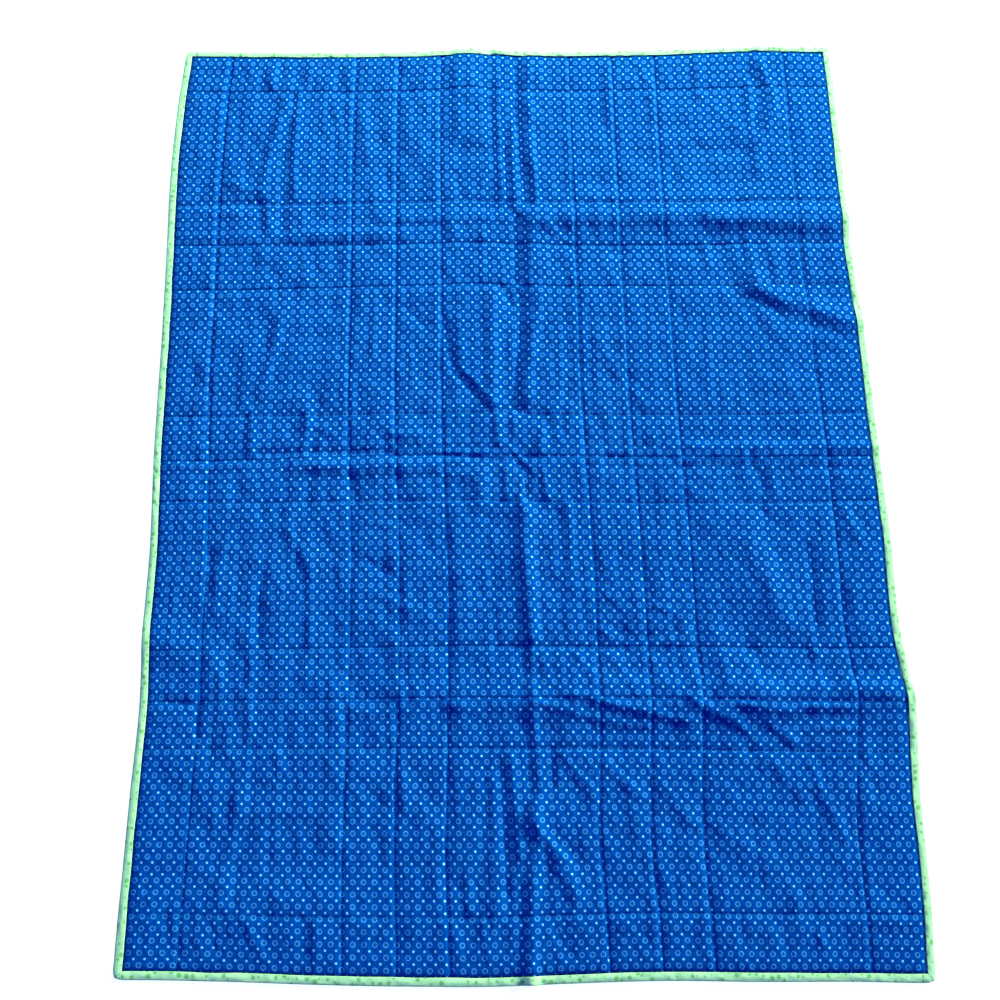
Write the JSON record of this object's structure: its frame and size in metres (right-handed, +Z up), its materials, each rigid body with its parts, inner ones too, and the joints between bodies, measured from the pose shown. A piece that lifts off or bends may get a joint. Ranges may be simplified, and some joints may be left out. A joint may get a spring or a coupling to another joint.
{
  "type": "patchwork quilt",
  "caption": "Patchwork quilt lying flat with its one-piece printed back up, quilted in a grid of straight lines and edged with a folded, mitred binding.",
  "frame": {"origin": "middle of the quilt's footprint, on the surface that it lies on", "axes": "+X to the quilt's right seen from its foot, +Y along its length to its head, +Z up"},
  "size_m": [0.9818, 1.3128, 0.0111],
  "materials": {
    "backing": "matt printed cotton, blue with light blue rings and pale dots",
    "binding": "matt printed cotton, pale green with darker green dots"
  },
  "bodies": {
    "root": {"quilt_panel": "backing", "binding_head": "binding", "binding_foot": "binding", "binding_left": "binding", "binding_right": "binding"}
  },
  "joints": []
}
